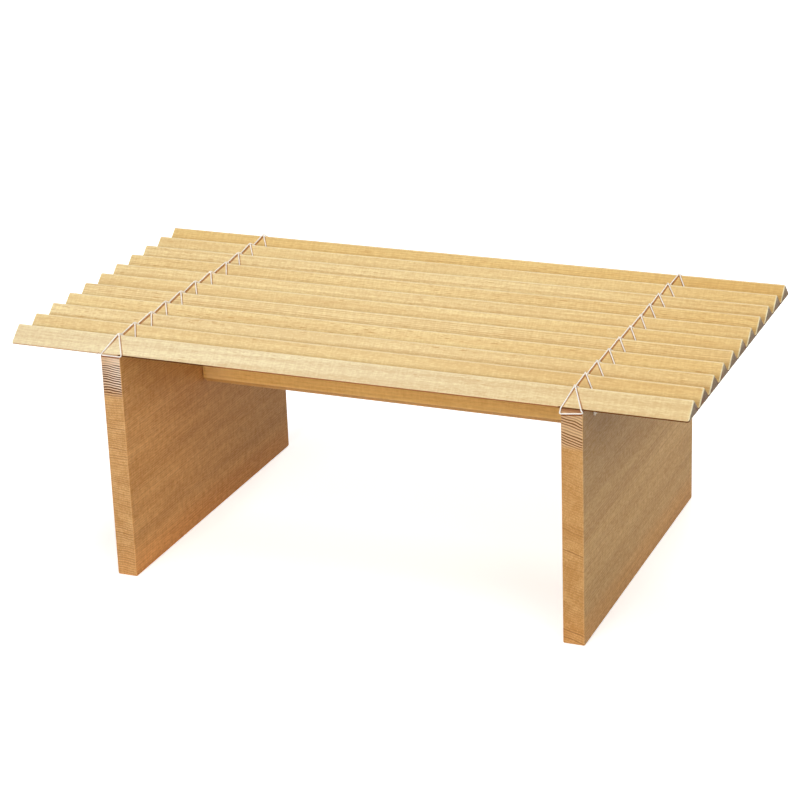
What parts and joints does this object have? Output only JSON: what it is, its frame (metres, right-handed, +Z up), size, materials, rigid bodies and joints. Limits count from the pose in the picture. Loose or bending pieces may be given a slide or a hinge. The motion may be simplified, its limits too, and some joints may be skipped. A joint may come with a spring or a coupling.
{
  "type": "offering stand",
  "caption": "Small wooden offering stand: a deck of triangular slats lashed with white thread to two plank legs, joined by a rail under the deck.",
  "frame": {"origin": "on the floor, under the middle of the deck", "axes": "+X along the slats towards the right leg, +Z up, -Y the front"},
  "size_m": [0.36, 0.1908, 0.1339],
  "materials": {
    "slat_wood": "planed, pale, unvarnished",
    "leg_wood": "planed, warm brown, with fine growth lines",
    "rail_wood": "planed, honey coloured",
    "dowel_wood": "plain turned dowel",
    "thread": "white twisted cotton thread"
  },
  "bodies": {
    "root": {"slat_01": "slat_wood", "slat_02": "slat_wood", "slat_03": "slat_wood", "slat_04": "slat_wood", "slat_05": "slat_wood", "slat_06": "slat_wood", "slat_07": "slat_wood", "slat_08": "slat_wood", "slat_09": "slat_wood", "slat_10": "slat_wood", "slat_11": "slat_wood", "left_leg": "leg_wood", "right_leg": "leg_wood", "rail": "rail_wood", "left_lower_dowel": "dowel_wood", "left_upper_dowel": "dowel_wood", "right_lower_dowel": "dowel_wood", "right_upper_dowel": "dowel_wood", "left_lashing": "thread", "right_lashing": "thread"}
  },
  "joints": []
}
